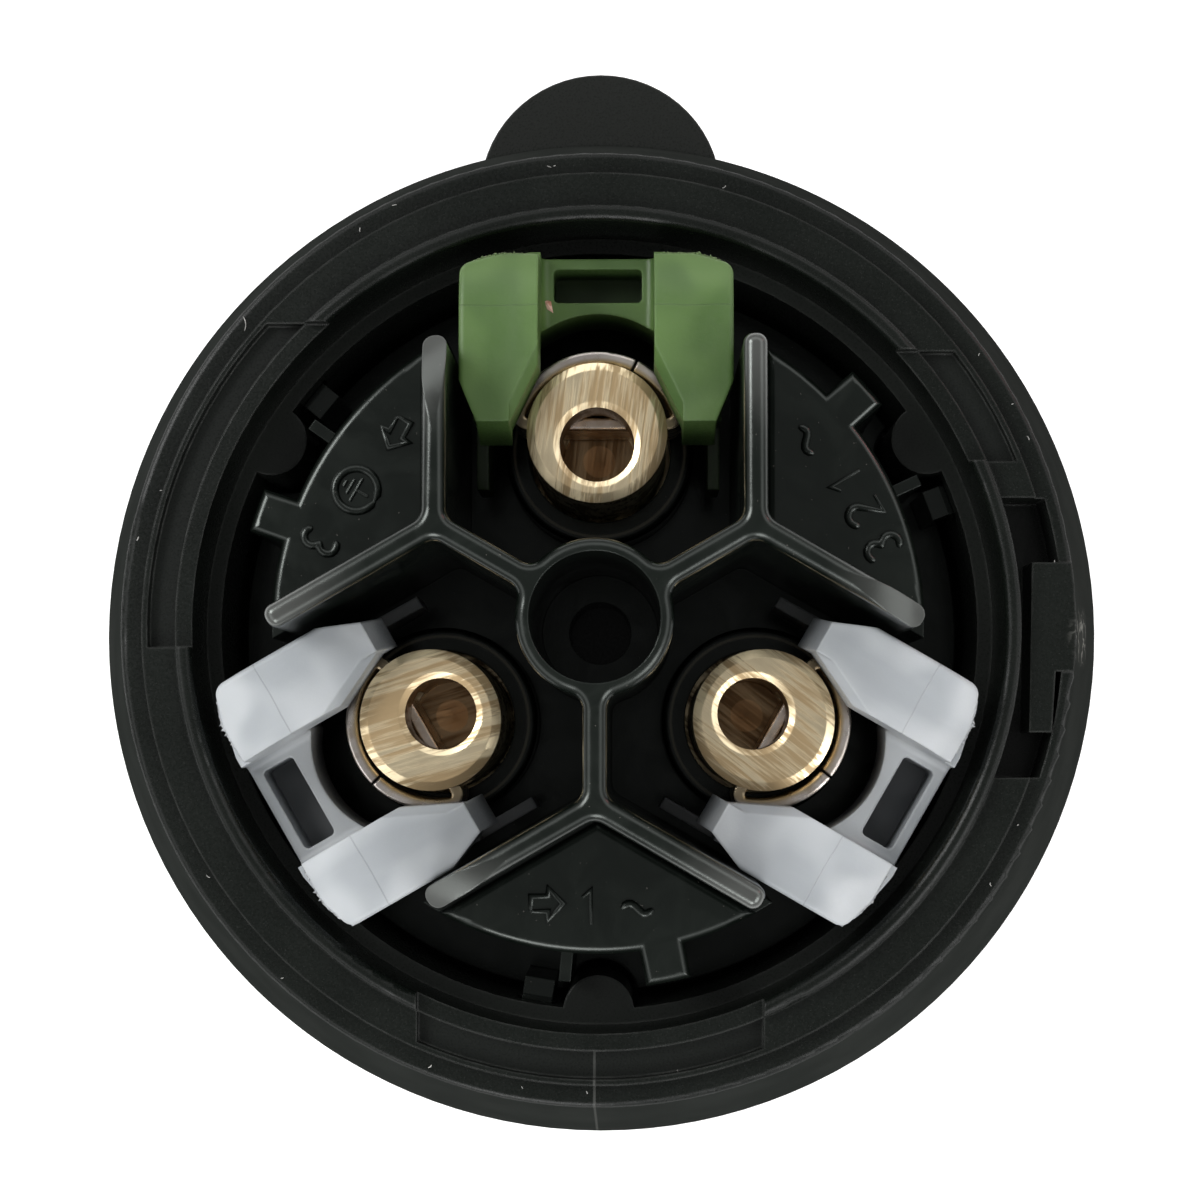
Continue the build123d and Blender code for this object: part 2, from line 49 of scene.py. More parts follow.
# Terminals and marking plates by their direction from the axis, in degrees, and how far
# each slider stands off its middle place, outward and sideways
TERMINALS = {"earth": 90, "line": 210, "neutral": 330}
PLATES = {"left": 150, "bottom": 270, "right": 30}
SLACK = {"earth": (-0.1, 0.0), "line": (0.1, 0.2), "neutral": (0.1, -0.2)}

# Places taken over from the solids, in millimetres
PLATE_TOP = 55.0
POCKET_FLOOR = 54.3
RING_TOP = 54.4
HEAD_TOP = 56.5
HEAD_CIRCLE = 11.0
BORE_RADIUS = 2.2
DRILL_POINT = 1.0
BOSS_RIM = 5.2
BOSS_TOP = 46.2
LOOP_MIDDLE = 4.85
LUG_START = 30.7
ARM_TOP = 59.1
ARM_CREASE = 17.9
ARM_INNER = 10.5
ARM_END = 21.1
ARM_ENVELOPE = 21.85
ARM_GAP = 3.3
ARM_FALL_RADIUS = 5.02

# Where a look starts and where it is full, in millimetres
SKIRT_RADIUS = (26.6, 27.4)
CUP_RADIUS = (26.2, 26.6)
CUP_HEIGHT = (50.0, 53.0)
SEAM_Y = (-24.6, -24.2)
SEAM_WIDTH = (0.04, 0.10)
CREST_RADIUS = (12.5, 17.5)
CREST_HEIGHT = (57.0, 60.0)
GLOSS_HEIGHT = (46.4, 50.0)
LEG_SIDE = (5.3, 6.1)

# Where the parting line runs, where the latch tongue is rooted, and how low its stress
# cracks reach, in millimetres
SEAM_X = -0.17
LATCH_ROOT = (28.9, -0.6, 0.0)
CRACKS_FROM = 49.0

# Direction of the straight brush lines on each terminal head, in degrees, and how far the
# normal of a chamfer leans back
BRUSH_TURN = {"earth": 82, "line": 17, "neutral": -38}
CHAMFER_LEAN = 1.3

# A start for a search for the smallest distance, larger than any on the part
FAR = 1000.0

# Flash on the sliders, along an arm's end: steps, width, the space left beside the gap
FLASH_STEPS = 46
FLASH_WIDTH = 3.6
FLASH_MARGIN = 0.15

# How far it stands out: at most and at least, and how often a longer tooth comes
FLASH_REACH = 0.16
FLASH_LEAST = 0.02
TOOTH_CHANCE = 0.08

# Its section: how far its root lies inside the arm and below the arm's top, its thickness
# at the root and at the edge, and how far the edge wanders sideways and up or down
FLASH_ROOT = 0.12
FLASH_SINK = 0.10
FLASH_FOOT = 0.14
FLASH_EDGE = 0.03
FLASH_WANDER = 0.04
FLASH_LIFT = (-0.06, 0.10)

# The copper chip: its rim on the bridge, and its raised middle
CHIP_OUTLINE = [
    (-3.28, 19.3, 52.93),
    (-2.75, 19.15, 52.93),
    (-2.62, 18.45, 52.93),
    (-3.0, 18.7, 52.93),
]
CHIP_PEAK = (-2.95, 18.95, 53.1)

# Lint: each fibre's start, heading, length and bend; and the motes that lie on the ring
FIBRES = [
    ((4.6, -25.5, 54.33), 262, 1.1, 35),
    ((6.0, -25.6, 54.33), 285, 0.6, -60),
    ((16.2, -20.9, 54.43), 130, 1.0, -50),
    ((-20.6, 17.2, 54.43), 70, 0.9, 60),
]
FIBRE_STEPS = 8
FIBRE_RADIUS = 0.028
MOTE_COUNT = 20
MOTE_RADIUS = (26.45, 27.3)
MOTE_LENGTH = (0.12, 0.3)
MOTE_BEND = 90

# Raised marks: a stroke's radius, and how much its height is squeezed
STROKE_RADIUS = 0.25
STROKE_FLATTEN = 0.9

# Colours; where there are several, they run in the order in which a material takes them
TONES = {
    "flange": ((0.0030, 0.0042, 0.0032), (0.0048, 0.0062, 0.0050)),
    "skirt": ((0.0168, 0.0186, 0.0171), (0.0212, 0.0232, 0.0214)),
    "lug": (0.0140, 0.0155, 0.0138),
    "cup_painted_light": (0.0150, 0.0172, 0.0150),
    "pocket": (0.0110, 0.0125, 0.0112),
    "speck": (0.034, 0.035, 0.033),
    "worn_and_highlit": (0.065, 0.067, 0.063),
    "seam": (0.060, 0.062, 0.058),
    "crack": (0.24, 0.24, 0.22),
    "carrier": ((0.0030, 0.0044, 0.0034), (0.0050, 0.0068, 0.0054)),
    "dust": (0.12, 0.11, 0.10),
    "boss_rim_painted_reflection": (0.25, 0.225, 0.17),
    "crest_painted_highlight": (0.085, 0.086, 0.082),
    "brass": ((0.42, 0.31, 0.175), (1.0, 0.845, 0.565)),
    "tarnish": (0.50, 0.35, 0.19),
    "bore": (0.25, 0.155, 0.08),
    "drill_point": (0.52, 0.34, 0.19),
    "steel": ((0.84, 0.77, 0.72), (0.66, 0.57, 0.48)),
    "loop_painted_reflection": (0.56, 0.43, 0.23),
    # For the sliders the dark tone is painted shade, and also colours the witness line; mid
    # and pale are their own colour
    "green": ((0.013, 0.025, 0.007), (0.057, 0.112, 0.027), (0.085, 0.154, 0.041)),
    "grey": ((0.055, 0.058, 0.060), (0.300, 0.320, 0.336), (0.405, 0.424, 0.438)),
    "copper_chip": ((0.42, 0.20, 0.14), (0.75, 0.48, 0.40)),
    "lint": ((0.20, 0.20, 0.19), (0.48, 0.47, 0.45)),
    "paper": ((0.90, 0.90, 0.90), (0.93, 0.93, 0.93)),
}

# Light tent: its brightness by height, from the horizon up to overhead where the camera is
TENT = [(0.0, 0.40), (0.40, 0.45), (0.52, 1.60), (0.74, 1.60), (0.88, 0.25)]

# Lamps: name, place and aim in metres, size, watts, and a colour if it isn't white
LAMPS = [
    ("key", (-0.34, 0.18, 0.44), (0, 0, 0.05), 0.24, 1.45),
    ("fill", (0.34, -0.28, 0.44), (0, 0, 0.05), 0.26, 0.85),
    ("front", (-0.07, -0.44, 0.38), (0, 0, 0.05), 0.24, 0.9),
    ("rose", (0.30, 0.22, 0.20), (0.02, 0.01, 0.055), 0.06, 0.06, (1.0, 0.35, 0.38)),
]

# Camera: its place and aim, in millimetres, and its lens
CAMERA_EYE = (2.46, -7.04, 204.0)
CAMERA_AIM = (0.30, 0.91, 64.0)
CAMERA_LENS = 77.64
CAMERA_SENSOR = 36
CAMERA_CLIP = 0.005

random.seed(SEED)


class Maker:
    """One material's node tree, with short calls for the nodes that the materials share."""

    def __init__(self, name, roughness, metallic=0.0):
        self.material = bpy.data.materials.new(name)
        self.material.use_nodes = True
        self.tree = self.material.node_tree
        self.shader = self.tree.nodes["Principled BSDF"]
        self.shader.inputs["Roughness"].default_value = roughness
        self.shader.inputs["Metallic"].default_value = metallic
        coordinates = self.tree.nodes.new("ShaderNodeTexCoord")
        self.place = self.vector("SCALE", coordinates.outputs["Object"], factor=1 / MM)

    def link(self, source, target):
        self.tree.links.new(source, target)

    def feed(self, socket, value):
        """Give a socket either a link or a plain value."""
        if isinstance(value, bpy.types.NodeSocket):
            self.link(value, socket)
        else:
            socket.default_value = value

    def vector(self, operation, a, b=None, factor=None):
        node = self.tree.nodes.new("ShaderNodeVectorMath")
        node.operation = operation
        self.feed(node.inputs[0], a)
        if b is not None:
            self.feed(node.inputs[1], b)
        if factor is not None:
            node.inputs["Scale"].default_value = factor
        gives_number = operation in ("DOT_PRODUCT", "DISTANCE", "LENGTH")
        return node.outputs["Value" if gives_number else "Vector"]

    def math(self, operation, a, b=0.0):
        node = self.tree.nodes.new("ShaderNodeMath")
        node.operation = operation
        for socket, value in zip(node.inputs, (a, b)):
            self.feed(socket, value)
        return node.outputs[0]

    def times(self, a, b):
        return self.math("MULTIPLY", a, b)

    def off(self, value, middle):
        """How far a value is from a middle one, on either side."""
        return self.math("ABSOLUTE", self.math("SUBTRACT", value, middle))

    def stretched(self, stretch):
        return self.vector("MULTIPLY", self.place, stretch)

    def turned(self, degrees, stretch=(1, 1, 1)):
        """Coordinates turned about Z, then stretched."""
        node = self.tree.nodes.new("ShaderNodeVectorRotate")
        node.rotation_type = "Z_AXIS"
        self.link(self.place, node.inputs["Vector"])
        node.inputs["Angle"].default_value = -math.radians(degrees)
        return self.vector("MULTIPLY", node.outputs[0], stretch)

    def noise(self, vector, scale, detail=2.0, roughness=0.5, distortion=0.0):
        node = self.tree.nodes.new("ShaderNodeTexNoise")
        self.link(vector, node.inputs["Vector"])
        node.inputs["Scale"].default_value = scale
        node.inputs["Detail"].default_value = detail
        node.inputs["Roughness"].default_value = roughness
        node.inputs["Distortion"].default_value = distortion
        return node.outputs["Fac"]

    def spread(self, value, low, high, to_low=0.0, to_high=1.0):
        """Map a range to another one smoothly, and hold it at the ends."""
        node = self.tree.nodes.new("ShaderNodeMapRange")
        node.interpolation_type = "SMOOTHSTEP"
        for socket, number in zip(node.inputs, (value, low, high, to_low, to_high)):
            self.feed(socket, number)
        return node.outputs[0]

    def fade(self, value, low, high, full=1.0):
        """Full up to the low value, nought from the high one on."""
        return self.spread(value, low, high, full, 0.0)

    def part(self, vector, axis):
        node = self.tree.nodes.new("ShaderNodeSeparateXYZ")
        self.link(vector, node.inputs[0])
        return node.outputs[axis]

    def mix(self, factor, a, b):
        node = self.tree.nodes.new("ShaderNodeMix")
        node.data_type = "RGBA"
        self.feed(node.inputs["Factor"], factor)
        self.feed(node.inputs[6], a if isinstance(a, bpy.types.NodeSocket) else (*a, 1.0))
        self.feed(node.inputs[7], b if isinstance(b, bpy.types.NodeSocket) else (*b, 1.0))
        return node.outputs[2]

    def tint(self, colour, mask, share, tone):
        """Lay a tone over a colour where the mask is one, with a share of full cover."""
        return self.mix(self.times(mask, share), colour, TONES[tone])

    def rounded(self, radius):
        """A normal that is rounded over sharp edges."""
        node = self.tree.nodes.new("ShaderNodeBevel")
        node.samples = 4
        node.inputs["Radius"].default_value = radius * MM
        return node.outputs[0]

    def edges(self, rounded, low, high):
        """One at sharp edges, nought elsewhere, from the rounded normal."""
        geometry = self.tree.nodes.new("ShaderNodeNewGeometry")
        agreement = self.vector("DOT_PRODUCT", rounded, geometry.outputs["Normal"])
        return self.spread(self.math("SUBTRACT", 1.0, agreement), low, high)

    def from_head(self):
        """Distance in plan from the axis of the nearest terminal head."""
        flat = self.stretched((1, 1, 0))
        nearest = FAR
        for direction in TERMINALS.values():
            turn = math.radians(direction)
            centre = (HEAD_CIRCLE * math.cos(turn), HEAD_CIRCLE * math.sin(turn), 0)
            nearest = self.math("MINIMUM", self.vector("DISTANCE", flat, centre), nearest)
        return nearest

    def upward(self):
        """How much a face looks up: one when level, nought when upright."""
        geometry = self.tree.nodes.new("ShaderNodeNewGeometry")
        return self.part(geometry.outputs["Normal"], 2)

    def bump(self, height, strength, distance, normal=None):
        node = self.tree.nodes.new("ShaderNodeBump")
        node.inputs["Strength"].default_value = strength
        node.inputs["Distance"].default_value = distance * MM
        self.link(height, node.inputs["Height"])
        if normal is not None:
            self.link(normal, node.inputs["Normal"])
        return node.outputs[0]

    def finish(self, colour, roughness=None, normal=None):
        self.link(colour, self.shader.inputs["Base Color"])
        if roughness is not None:
            self.link(roughness, self.shader.inputs["Roughness"])
        if normal is not None:
            self.link(normal, self.shader.inputs["Normal"])
        return self.material


def shell_plastic():
    """Satin black with a fine eroded grain, pale along its edges: wear and a painted
    highlight.
    """
    make = Maker("shell_plastic", 0.4)
    grain = make.noise(make.place, 7.0, detail=5, roughness=0.65)
    cloud = make.noise(make.place, 0.22, detail=4)
    speck = make.spread(make.noise(make.place, 14.0, detail=2), 0.62, 0.76)
    rounded = make.rounded(0.2)
    # Pale edges: partly wear, partly a painted highlight along them
    patches = make.spread(make.noise(make.place, 0.8, detail=3), 0.3, 0.65, 0.35, 1.0)
    worn_and_highlit = make.times(make.edges(rounded, 0.02, 0.25), patches)
    flat = make.stretched((1, 1, 0))
    radius = make.vector("LENGTH", flat)
    level = make.part(make.place, 2)
    up = make.spread(make.upward(), 0.45, 0.85)
    # Painted reflection: the upright outer skirt is painted paler in place of its specular
    # reflection, which is turned off there
    skirt = make.times(make.math("SUBTRACT", 1.0, up), make.spread(radius, *SKIRT_RADIUS))
    dark = make.mix(skirt, TONES["flange"][0], TONES["skirt"][0])
    light = make.mix(skirt, TONES["flange"][1], TONES["skirt"][1])
    colour = make.mix(make.spread(cloud, 0.3, 0.7), dark, light)

    # The lid lug looks a little paler than the flange
    lug = make.spread(radius, LUG_START, LUG_START + 0.3)
    colour = make.tint(colour, lug, 0.8, "lug")

    # Down in the cup the plastic is painted paler: painted light in the recess
    inside = make.times(make.fade(radius, *CUP_RADIUS), make.fade(level, *CUP_HEIGHT))
    colour = make.tint(colour, inside, 0.85, "cup_painted_light")

    # The pockets' floors are painted paler: painted light
    pocket = make.times(make.fade(make.off(level, POCKET_FLOOR), 0.03, 0.06), up)
    colour = make.tint(colour, pocket, 0.5, "pocket")
    colour = make.tint(colour, speck, 0.5, "speck")
    colour = make.tint(colour, worn_and_highlit, 0.75, "worn_and_highlit")

    # A parting line runs out through the pocket at six o'clock
    line = make.fade(make.off(make.part(make.place, 0), SEAM_X), *SEAM_WIDTH)
    seam = make.times(line, make.fade(make.part(make.place, 1), *SEAM_Y))
    colour = make.tint(colour, seam, 0.7, "seam")

    # Whitish stress cracks where the latch tongue bends, on the flange's edge
    near = make.fade(make.vector("DISTANCE", flat, LATCH_ROOT), 0.5, 2.0)
    near = make.times(near, make.spread(level, CRACKS_FROM - 1.0, CRACKS_FROM + 1.0))
    ridge = make.off(make.noise(make.place, 0.75, detail=2), 0.5)
    crack = make.times(make.spread(ridge, 0.010, 0.035, 1.0, 0.08), near)
    colour = make.tint(colour, crack, 0.6, "crack")

    make.link(make.fade(skirt, 0.0, 1.0, 0.24), make.shader.inputs["Specular IOR Level"])
    rough = make.spread(grain, 0.3, 0.7, 0.24, 0.36)
    height = make.math("ADD", grain, make.times(seam, 2.0))
    return make.finish(colour, rough, make.bump(height, 0.3, 0.015, rounded))


def carrier_plastic():
    """Glossier black, with soft flow marks, a few pale motes of dust, a painted reflection
    of the brass on the boss rims beside the heads, and painted highlights on the walls'
    crests."""
    make = Maker("carrier_plastic", 0.28)
    flow = make.noise(make.stretched((1.0, 1.0, 0.35)), 0.35, detail=3, distortion=1.2)
    grain = make.noise(make.place, 9.0, detail=3)
    mote = make.spread(make.noise(make.place, 5.5, detail=1), 0.775, 0.80)
    level = make.part(make.place, 2)
    colour = make.mix(make.spread(flow, 0.35, 0.7), *TONES["carrier"])
    colour = make.tint(colour, mote, 0.6, "dust")
    # Painted reflection: the boss rims are painted in the colour of the brass beside them
    near_top = make.fade(make.off(level, BOSS_TOP), 0.3, 0.6)
    painted_brass_reflection = make.times(make.fade(make.off(make.from_head(), BOSS_RIM), 0.02, 0.16), near_top)
    colour = make.tint(colour, painted_brass_reflection, 0.8, "boss_rim_painted_reflection")

    # Towards their tips the walls' crests get a painted highlight, a paler colour, and a
    # higher specular level
    radius = make.vector("LENGTH", make.stretched((1, 1, 0)))
    crest_painted_highlight = make.times(make.spread(radius, *CREST_RADIUS), make.spread(level, *CREST_HEIGHT))
    crest_painted_highlight = make.times(crest_painted_highlight, make.spread(make.upward(), 0.2, 0.6))
    colour = make.tint(colour, crest_painted_highlight, 0.55, "crest_painted_highlight")
    gloss = make.spread(level, *GLOSS_HEIGHT, 0.28, 0.48)
    gloss = make.math("ADD", gloss, make.times(crest_painted_highlight, 0.35))
    make.link(gloss, make.shader.inputs["Specular IOR Level"])
    make.shader.inputs["Specular Tint"].default_value = (0.93, 1.0, 0.95, 1.0)

    rough = make.spread(flow, 0.3, 0.7, 0.15, 0.25)
    height = make.math("ADD", make.times(grain, 0.35), flow)
    return make.finish(colour, rough, make.bump(height, 0.3, 0.03, make.rounded(0.13)))


def pin_brass(name):
    """Brass with straight brush lines on the head, turning rings round it, and a dull
    brown bore with a paler drill point."""
    make = Maker(f"pin_brass_{name}", 0.4, metallic=1.0)
    low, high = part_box(f"{name}_pin")
    axis = ((low[0] + high[0]) / 2 / MM, (low[1] + high[1]) / 2 / MM, 0)
    turn = BRUSH_TURN[name]
    fine = make.noise(make.turned(turn, (0.10, 2.6, 0.4)), 1.6, detail=5, roughness=0.6)
    broad = make.noise(make.turned(turn, (0.14, 0.8, 0.4)), 1.0, detail=3)
    lines = make.math("ADD", make.times(fine, 0.5), make.times(broad, 0.6))
    rings = make.noise(make.stretched((0.08, 0.08, 3.5)), 1.5, detail=4)
    up = make.upward()
    top = make.spread(up, 0.9, 0.98)
    sides = make.times(make.math("SUBTRACT", 1.0, top), 0.12)
    height = make.math("ADD", make.times(lines, top), make.times(rings, sides))

    # Chamfers shade like soft edges: their normal leans back towards the top
    lean = make.tree.nodes.new("ShaderNodeCombineXYZ")
    make.link(make.spread(up, 0.3, 0.6, 0.0, CHAMFER_LEAN), lean.inputs[2])
    soft = make.vector("NORMALIZE", make.vector("ADD", make.rounded(0.12), lean.outputs[0]))

    # Inside the bore the metal is dull and brown
    away = make.vector("DISTANCE", make.stretched((1, 1, 0)), axis)
    deep = make.fade(make.part(make.place, 2), HEAD_TOP - 0.6, HEAD_TOP - 0.3)
    bore = make.times(make.fade(away, BORE_RADIUS - 0.02, BORE_RADIUS + 0.02), deep)
    point = make.times(make.fade(away, DRILL_POINT - 0.08, DRILL_POINT + 0.02), deep)
    tarnish = make.spread(make.noise(make.place, 0.7, detail=4), 0.35, 0.75)
    colour = make.mix(make.spread(lines, 0.47, 0.60), *TONES["brass"])
    colour = make.tint(colour, tarnish, 0.18, "tarnish")
    colour = make.tint(colour, bore, 0.85, "bore")
    colour = make.tint(colour, point, 0.7, "drill_point")
    rough = make.spread(lines, 0.45, 0.64, 0.50, 0.28)
    return make.finish(colour, rough, make.bump(height, 0.9, 0.06, soft))


def spring_steel():
    """Pinkish silver strip with faint rolling lines along it, and a painted golden
    reflection of the brass on its inner part.
    """
    make = Maker("spring_steel", 0.24, metallic=1.0)
    rolled = make.noise(make.stretched((0.25, 0.25, 5.0)), 1.4, detail=4)
    stain = make.noise(make.place, 0.9, detail=3)
    colour = make.mix(make.spread(stain, 0.4, 0.7), *TONES["steel"])
    away = make.from_head()
    # Painted reflection: the loop's inner part is painted golden, the brass reflected in it
    reflected_brass = make.fade(away, LOOP_MIDDLE - 0.12, LOOP_MIDDLE + 0.10)
    reflected_brass = make.times(reflected_brass, make.spread(away, 3.6, 4.2))
    colour = make.tint(colour, reflected_brass, 0.75, "loop_painted_reflection")
    rough = make.spread(rolled, 0.3, 0.7, 0.20, 0.36)
    return make.finish(colour, rough, make.bump(rolled, 0.3, 0.015, make.rounded(0.16)))


def slider_plastic(name, dark, mid, pale):
    """Waxy, slightly translucent nylon with soft dips, faint flow lines and paler edges;
    painted shade darkens its legs, its lower parts, the slanted ends of its arms and their
    inner parts."""
    make = Maker(f"slider_plastic_{name}", 0.4)
    turn = TERMINALS[name]
    local = make.turned(turn)
    ripple = make.noise(make.turned(turn, (0.22, 0.26, 0.2)), 1.0, detail=1, distortion=0.3)
    streak = make.noise(make.turned(turn, (0.20, 1.1, 0.5)), 1.0, detail=3, distortion=0.2)
    fine = make.noise(make.place, 6.0, detail=3)
    rounded = make.rounded(0.22)
    edge = make.edges(rounded, 0.01, 0.2)
    level = make.part(make.place, 2)
    outward = make.part(local, 0)
    sideways = make.math("ABSOLUTE", make.part(local, 1))
    colour = make.mix(make.spread(ripple, 0.34, 0.62), mid, pale)
    colour = make.mix(make.times(make.spread(streak, 0.5, 0.8), 0.18), colour, pale)
    colour = make.mix(make.times(edge, 0.35), colour, pale)

    # Painted shade: darker deep in the chamber, most of all the legs, and on the arms' inner
    # ends
    low = make.fade(level, ARM_TOP - 11.0, ARM_TOP - 5.0, 0.7)
    below_arms = make.fade(level, ARM_TOP - 5.2, ARM_TOP - 4.4, 0.9)
    leg = make.times(make.spread(sideways, *LEG_SIDE), below_arms)
    inner_end = make.fade(outward, ARM_INNER + 0.1, ARM_INNER + 1.0, 0.75)
    slope = make.spread(level, ARM_TOP - 4.0, ARM_TOP - 0.4, 1.0, 0.35)
    slant = make.times(inner_end, slope)
    inward = make.fade(outward, ARM_INNER + 0.5, ARM_CREASE + 0.5, 0.24)
    deep = make.math("MAXIMUM", low, leg)
    shade = make.math("MAXIMUM", deep, make.math("MAXIMUM", slant, inward))
    colour = make.mix(shade, colour, dark)

    # A witness line crosses each arm where its top starts to fall
    wander = make.times(make.noise(make.turned(turn, (0.1, 0.25, 0.1)), 1.0), 0.3)
    across = make.off(make.math("ADD", outward, wander), ARM_CREASE + 0.15)
    on_top = make.spread(level, ARM_TOP - 2.2, ARM_TOP - 1.6)
    crease = make.times(make.fade(across, 0.02, 0.06), on_top)
    colour = make.mix(make.times(crease, 0.2), colour, dark)
    rough = make.spread(fine, 0.3, 0.7, 0.38, 0.50)
    height = make.math("ADD", ripple, make.times(fine, 0.02))
    height = make.math("SUBTRACT", height, make.times(crease, 0.05))
    make.shader.inputs["Subsurface Weight"].default_value = 0.25
    make.shader.inputs["Subsurface Radius"].default_value = (1.0, 1.0, 0.8)
    make.shader.inputs["Subsurface Scale"].default_value = 0.6 * MM
    return make.finish(colour, rough, make.bump(height, 0.5, 0.6, rounded))


def plain_speck(name, roughness, scale):
    """A small thing's material: its two tones broken up by noise."""
    make = Maker(name, roughness)
    tone = make.noise(make.place, scale, detail=3)
    colour = make.mix(make.spread(tone, 0.35, 0.65), *TONES[name])
    return make.finish(colour, normal=make.bump(tone, 0.3, 0.02))


def floor_paper():
    """Pale paper that glows a little, so that it stays pale under the part."""
    make = Maker("floor_paper", 0.85)
    pulp = make.noise(make.place, 0.9, detail=4)
    colour = make.mix(make.spread(pulp, 0.3, 0.7), *TONES["paper"])
    make.shader.inputs["Emission Color"].default_value = (1, 1, 1, 1)
    make.shader.inputs["Emission Strength"].default_value = 0.30
    return make.finish(colour)


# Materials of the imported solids
looks = {
    "front_shell": shell_plastic(),
    "carrier": carrier_plastic(),
}
steel = spring_steel()
for terminal in TERMINALS:
    looks[f"{terminal}_pin"] = pin_brass(terminal)
    looks[f"{terminal}_clamp_loop"] = steel
    tones = TONES["green" if terminal == "earth" else "grey"]
    looks[f"{terminal}_slider"] = slider_plastic(terminal, *tones)
for node, material in looks.items():
    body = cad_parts[node]
    body.data.materials.clear()
    body.data.materials.append(material)


def add_mesh(name, mesh, material, body):
    """Put a new piece into the scene and tie it to its body."""
    mesh.materials.clear()
    mesh.materials.append(material)
    piece = bpy.data.objects.new(name, mesh)
    bpy.context.collection.objects.link(piece)
    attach(piece, body)


def tube_mesh(name, paths, radius, flatten=1.0):
    """One mesh of round-ended rods along several paths; flatten squeezes them in Z about
    the first point's height."""
    joined = bmesh.new()
    for path in paths:
        curve = bpy.data.curves.new(name, "CURVE")
        curve.dimensions = "3D"
        curve.bevel_depth = radius * MM
        curve.bevel_resolution = 2
        curve.use_fill_caps = True
        spline = curve.splines.new("POLY")
        spline.points.add(len(path) - 1)
        for index, (point, place) in enumerate(zip(spline.points, path)):
            point.co = (*(Vector(place) * MM), 1.0)
            point.radius = 0.45 if index in (0, len(path) - 1) else 1.0
        holder = bpy.data.objects.new(name, curve)
        mesh = bpy.data.meshes.new_from_object(holder)
        base = path[0][2] * MM
        for vertex in mesh.vertices:
            vertex.co.z = base + (vertex.co.z - base) * flatten
        joined.from_mesh(mesh)
        bpy.data.objects.remove(holder)
        bpy.data.curves.remove(curve)
        bpy.data.meshes.remove(mesh)
    for face in joined.faces:
        face.smooth = True
    mesh = bpy.data.meshes.new(name)
    joined.to_mesh(mesh)
    joined.free()
    return mesh


def directions(degrees):
    """Unit vectors outward and sideways for a direction from the axis."""
    turn = math.radians(degrees)
    outward = Vector((math.cos(turn), math.sin(turn), 0))
    return outward, Vector((-outward.y, outward.x, 0))


def arc(x, y, radius, start, stop, steps=10):
    """Points of an arc in a mark's own plane, angles in degrees."""
    turns = [math.radians(start + (stop - start) * k / steps) for k in range(steps + 1)]
    return [(x + radius * math.cos(t), y + radius * math.sin(t)) for t in turns]


# Generic raised marks, drawn about their own centre, each a list of strokes
MARKS = {
    "arrow": [
        [(-0.9, -0.35), (0.1, -0.35), (0.1, -0.85), (0.95, 0.1)]
        + [(0.1, 1.0), (0.1, 0.5), (-0.9, 0.5), (-0.9, -0.35)]
    ],
    "ground": [
        arc(0, 0, 1.25, 90, 450, 24),
        [(0, 0.8), (0, 0.0)],
        [(-0.75, 0.0), (0.75, 0.0)],
        [(-0.48, -0.38), (0.48, -0.38)],
        [(-0.22, -0.74), (0.22, -0.74)],
    ],
    "wave": [[(-0.9 + 0.18 * k, 0.3 * math.sin(math.pi * k / 5)) for k in range(11)]],
    "1": [[(-0.45, 0.55), (0.05, 1.0), (0.05, -1.0)]],
    "2": [arc(0, 0.45, 0.55, 165, -35) + [(-0.55, -1.0), (0.6, -1.0)]],
    "3": [arc(0, 0.5, 0.5, 150, -90), arc(0, -0.5, 0.52, 90, -150)],
}

# Each plate's marks with their places sideways and outward, their tops towards the hub
MARK_ROWS = {
    "left": [("arrow", -3.8, 15.7), ("ground", 0.2, 16.0), ("3", 3.8, 16.3)],
    "bottom": [("arrow", -2.9, 16.1), ("1", -0.4, 16.2), ("wave", 2.3, 16.3)],
    "right": [("3", -4.4, 16.5), ("2", -2.1, 16.6), ("1", 0.1, 16.6), ("wave", 3.2, 15.8)],
}


def marks(plate):
    """Raised marks on a plate."""
    outward, reading = directions(PLATES[plate])
    top = Vector((0, 0, PLATE_TOP))
    paths = []
    for sign, along, radial in MARK_ROWS[plate]:
        for stroke in MARKS[sign]:
            path = [reading * (along + x) + outward * (radial - y) + top for x, y in stroke]
            paths.append(path)
    mesh = tube_mesh(f"marks_{plate}", paths, STROKE_RADIUS, flatten=STROKE_FLATTEN)
    add_mesh(f"marks_{plate}", mesh, looks["carrier"], "plug")


for plate in MARK_ROWS:
    marks(plate)


